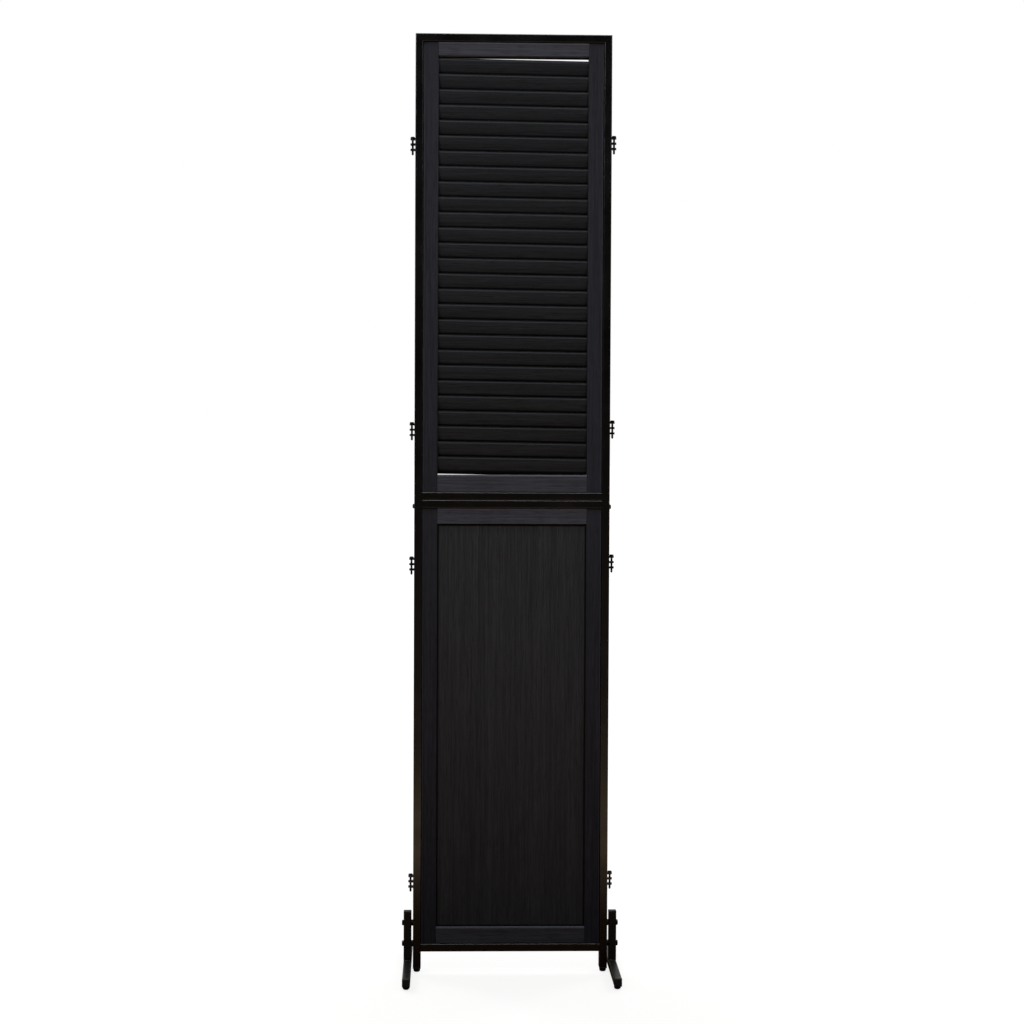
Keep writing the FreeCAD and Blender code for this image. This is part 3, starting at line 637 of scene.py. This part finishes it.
def weld_bead():
    """A short rippled bead along Z, tapered at both ends. Its middle is at the origin."""
    bead = rod_stock("bead", 8, BEAD_RADIUS, BEAD_LENGTH)
    bead.location.z = -BEAD_LENGTH / 2
    settle(bead, "bead")
    pick(bead, "EDGE", lambda middle: abs(middle.z) < BEAD_LENGTH * NEAR)
    bpy.ops.mesh.subdivide(number_cuts=BEAD_RINGS - 1)
    ring = BEAD_LENGTH / BEAD_RINGS
    pick(bead, "VERT", lambda point: round(point.z / ring) % 2 == 1)
    bpy.ops.transform.resize(value=(BEAD_RIPPLE, BEAD_RIPPLE, 1.0))
    pick(bead, "VERT", lambda point: abs(point.z) > BEAD_LENGTH / 2 * (1 - NEAR))
    bpy.ops.transform.resize(value=(BEAD_TAPER, BEAD_TAPER, 1.0))
    bpy.ops.object.mode_set(mode="OBJECT")
    select_only(bead)
    bpy.ops.object.shade_smooth_by_angle(angle=math.radians(60.0))
    return bead


def ear_seams():
    """Above and below each hinge ear, where it meets the upright."""
    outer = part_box("upper_right_upright")[1][0]
    low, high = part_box("hinge_pin_right_1")
    ear_top = high[2] - PIN_HEAD - low[2]
    for node in HINGE_PINS:
        low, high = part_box(node)
        for ear in range(EARS_PER_HINGE):
            top = low[2] + ear_top - ear * EAR_SPACING
            for seam in (top, top - EAR_THICKNESS):
                yield (math.copysign(outer, low[0]), 0.0, seam), ALONG_Y, *EAR_BEAD


def post_seams():
    """In front of and behind each foot's post, where it stands on the bar."""
    for foot in ("left_foot", "right_foot"):
        low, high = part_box(foot)
        post = math.copysign(POST_MIDDLE, low[0])
        for side in (-1.0, 1.0):
            yield (post, side * FOOT_TUBE / 2, low[2] + FOOT_TUBE), ALONG_X, *POST_BEAD


def frame_seams():
    """Across the mitres of the upper frame and at the ends of the cross tubes, in front and behind."""
    (inner, _, foot), (outer, face, top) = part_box("upper_right_upright")
    half = (outer - inner) / 2
    cross_heights = (foot + half, foot - half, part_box("lower_cross_tubes")[0][2] + half)
    for front in (-face, face):
        for side in (-1.0, 1.0):
            mitre = (side * (outer - half), front, top - half)
            yield mitre, (0.0, side * math.pi / 4, 0.0), half * 2.5, DRESSED_BEAD
            for height in cross_heights:
                yield (side * inner, front, height), ALONG_Z, half * 1.7, DRESSED_BEAD


def weld_seams():
    """One bead for each seam, all joined to one piece."""
    bead = weld_bead()
    beads = []
    for seams in (ear_seams, post_seams, frame_seams):
        for place, turn, length, thick in seams():
            scale = (thick / BEAD_RADIUS, thick / BEAD_RADIUS, length / BEAD_LENGTH)
            beads.append(copied(bead, "bead_copy", place, turn, scale))
    bpy.data.objects.remove(bead)
    attach(joined("weld_beads", beads), "panel", FRAME_COAT)


SIDE_SEAL = 0.0006
SIDE_SEAL_REACH = 0.006
TOP_SEAL = 0.0023
TOP_SEAL_FRONT = 0.001
TOP_SEAL_BACK = 0.0075


def edging(low, high, ease):
    """A soft edging strip between two corners, with its edges rounded."""
    size = [end - begin for begin, end in zip(low, high)]
    middle = [(begin + end) / 2 for begin, end in zip(low, high)]
    strip = bar_stock("seal", middle, size)
    finish_mesh(strip, ease)
    return strip


def slat_seals():
    """Soft black edging that lines the louvre's opening and keeps light out round the slats."""
    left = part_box("louvre_left_stile")[1][0]
    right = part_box("louvre_right_stile")[0][0]
    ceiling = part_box("louvre_top_rail")[0][2]
    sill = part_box("louvre_bottom_rail")[1][2]
    strips = []
    for begin, end in ((left, left + SIDE_SEAL), (right - SIDE_SEAL, right)):
        low, high = (begin, -SIDE_SEAL_REACH, sill), (end, SIDE_SEAL_REACH, ceiling)
        strips.append(edging(low, high, SIDE_SEAL / 3))
    low, high = (left, TOP_SEAL_FRONT, ceiling - TOP_SEAL), (right, TOP_SEAL_BACK, ceiling)
    strips.append(edging(low, high, TOP_SEAL / 3))
    attach(joined("opening_seals", strips), "panel", SEAL_PLASTIC)


FLOOR_SIZE = 200.0


def studio_floor():
    """A pale floor that fades to white. The eye sees it bright, the panel sees a dimmer, warmer glow."""
    bpy.ops.object.select_all(action="DESELECT")
    bpy.ops.mesh.primitive_plane_add(size=FLOOR_SIZE, location=(0.0, 0.0, 0.0))
    floor = bpy.context.object
    floor.name = "studio_floor"
    ground = Finish("studio_floor", Roughness=0.9, Specular_IOR_Level=0.1, Emission_Strength=1.0)
    place = ground.place()
    wash = ground.noise(place, 0.6, detail=2.0)
    reach = ground.node("ShaderNodeVectorMath", {"operation": "LENGTH"}, {0: place}, "Value")
    away = ground.spread(reach, 0.4, 2.2)
    paint = ground.mixed(wash, rgb(0.36, 0.35, 0.34), rgb(0.40, 0.39, 0.38))
    seen_paint = ground.mixed(away, paint, rgb(0.0, 0.0, 0.0))
    seen_glow = ground.mixed(away, rgb(0.82, 0.82, 0.82), rgb(1.1, 1.1, 1.1))
    ring = ground.spread(reach, 0.8, 1.25)
    near_glow = ground.mixed(ring, rgb(0.01, 0.004, 0.001), rgb(0.70, 0.52, 0.35))
    behind = ground.spread(ground.along(place, "Y"), -0.8, 0.4)
    far_glow = ground.mixed(behind, rgb(0.03, 0.03, 0.03), rgb(0.35, 0.34, 0.33))
    thrown_glow = ground.mixed(ground.spread(reach, 1.7, 2.4), near_glow, far_glow)
    first_look = ground.node("ShaderNodeLightPath", output="Is Camera Ray")
    ground.surface(
        Base_Color=ground.mixed(first_look, rgb(0.10, 0.05, 0.02), seen_paint),
        Emission_Color=ground.mixed(first_look, thrown_glow, seen_glow),
    )
    put_on(floor, ground.material)


def surroundings():
    """White all round for the eye. As light it is dim in front of the panel, brighter behind and above."""
    world = bpy.data.worlds.new("studio")
    bpy.context.scene.world = world
    world.use_nodes = True
    room = ShaderTree(world.node_tree)
    towards = room.node("ShaderNodeTexCoord", output="Generated")
    from_behind = room.spread(room.along(towards, "Y"), -0.6, 0.8, 0.01, 0.55)
    from_above = room.spread(room.along(towards, "Z"), 0.3, 1.0, 0.0, 0.2)
    white = rgb(1.0, 1.0, 1.0)
    thrown = room.node("ShaderNodeBackground", None, {"Color": white, "Strength": from_behind + from_above})
    seen = room.node("ShaderNodeBackground", None, {"Color": white, "Strength": 1.0})
    first_look = room.node("ShaderNodeLightPath", output="Is Camera Ray")
    both = room.node("ShaderNodeMixShader", None, {0: first_look, 1: thrown, 2: seen})
    room.feed(world.node_tree.nodes["World Output"].inputs["Surface"], both)


# Each soft light: its place, its aim, its width and height, its watts and its spread in degrees.
SOFT_LIGHTS = {
    "left_softbox": ((-1.8, -2.3, 2.8), (0.0, 0.0, 1.38), 0.9, 0.9, 2.1, 44.0),
    "right_softbox": ((1.8, -2.3, 2.8), (0.0, 0.0, 1.38), 0.9, 0.9, 1.35, 44.0),
    "rear_left_softbox": ((-1.9, 2.2, 2.6), (0.0, 0.0, 1.1), 0.9, 0.9, 3.0, 60.0),
    "rear_right_softbox": ((1.9, 2.2, 2.6), (0.0, 0.0, 1.1), 0.9, 0.9, 2.2, 60.0),
    "overhead_softbox": ((0.0, -0.8, 3.2), (0.0, 0.0, 1.3), 1.0, 0.5, 1.3, 60.0),
}


def soft_light(name, place, aim, wide, tall, watts, spread):
    lamp = bpy.data.lights.new(name, "AREA")
    lamp.shape = "RECTANGLE"
    lamp.size = wide
    lamp.size_y = tall
    lamp.energy = watts
    lamp.spread = math.radians(spread)
    holder = bpy.data.objects.new(name, lamp)
    bpy.context.scene.collection.objects.link(holder)
    holder.location = place
    holder.rotation_mode = "QUATERNION"
    holder.rotation_quaternion = (Vector(aim) - Vector(place)).to_track_quat("-Z", "Y")


FOCAL_PIXELS = 2100.0
IMAGE_PIXELS = 1024.0
SENSOR = 36.0
CAMERA_PLACE = (-0.123, -4.034, 1.019)
CAMERA_YAW = 1.75
CAMERA_PITCH = 1.84
CAMERA_ROLL = 0.26


def photograph():
    """The camera stands a little left of the middle and looks slightly down."""
    lens = bpy.data.cameras.new("camera")
    lens.sensor_width = SENSOR
    lens.lens = FOCAL_PIXELS / IMAGE_PIXELS * SENSOR
    lens.clip_end = 100.0
    camera = bpy.data.objects.new("camera", lens)
    bpy.context.scene.collection.objects.link(camera)
    yaw = Matrix.Rotation(-math.radians(CAMERA_YAW), 4, "Z")
    pitch = Matrix.Rotation(math.pi / 2 - math.radians(CAMERA_PITCH), 4, "X")
    roll = Matrix.Rotation(math.radians(CAMERA_ROLL), 4, "Z")
    camera.matrix_world = Matrix.Translation(CAMERA_PLACE) @ (yaw @ pitch @ roll)
    bpy.context.scene.camera = camera


dress_nodes()
louvre_slats()
socket_bolts()
drop_pins()
weld_seams()
slat_seals()
studio_floor()
surroundings()
for light, settings in SOFT_LIGHTS.items():
    soft_light(light, *settings)
photograph()
bpy.context.scene.view_settings.view_transform = "Standard"
